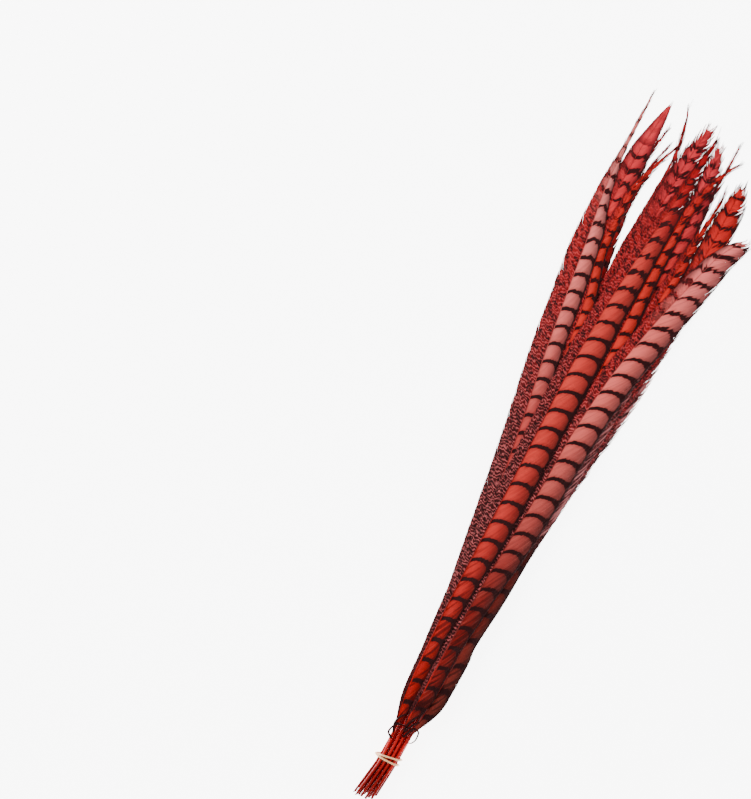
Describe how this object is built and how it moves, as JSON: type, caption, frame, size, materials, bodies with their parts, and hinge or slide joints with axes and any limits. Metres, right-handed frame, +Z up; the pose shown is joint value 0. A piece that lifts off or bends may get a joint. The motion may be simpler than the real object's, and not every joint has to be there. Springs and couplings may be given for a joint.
{
  "type": "pheasant tail feather bundle",
  "caption": "Long dyed red pheasant tail feathers with dark bars, tied near their cut quills by a doubled rubber band and fanning out flat to fine tips.",
  "frame": {"origin": "middle of the bundle's footprint, on the surface that it lies on", "axes": "+Y along the feathers from the cut quills to the tips, +Z up from the surface, +X to the right seen from above with the tips at the top"},
  "size_m": [0.1302, 0.6076, 0.0247],
  "materials": {
    "feather_red": "silky, with near-black bars and a mottled narrow vane",
    "feather_salmon": "silky, with near-black bars and a mottled narrow vane",
    "feather_dark": "silky, with near-black bars and a mottled narrow vane",
    "band_rubber": "smooth and dull"
  },
  "bodies": {
    "root": {"feather_01": "feather_red", "feather_02": "feather_red", "feather_03": "feather_red", "feather_04": "feather_red", "feather_05": "feather_dark", "feather_06": "feather_red", "feather_07": "feather_red", "feather_08": "feather_red", "feather_09": "feather_red", "feather_10": "feather_red", "feather_11": "feather_red", "feather_12": "feather_red", "feather_13": "feather_red", "feather_14": "feather_red", "feather_15": "feather_red", "feather_16": "feather_salmon", "feather_17": "feather_red", "feather_18": "feather_dark", "feather_19": "feather_salmon", "feather_20": "feather_red", "rubber_band": "band_rubber"}
  },
  "joints": []
}
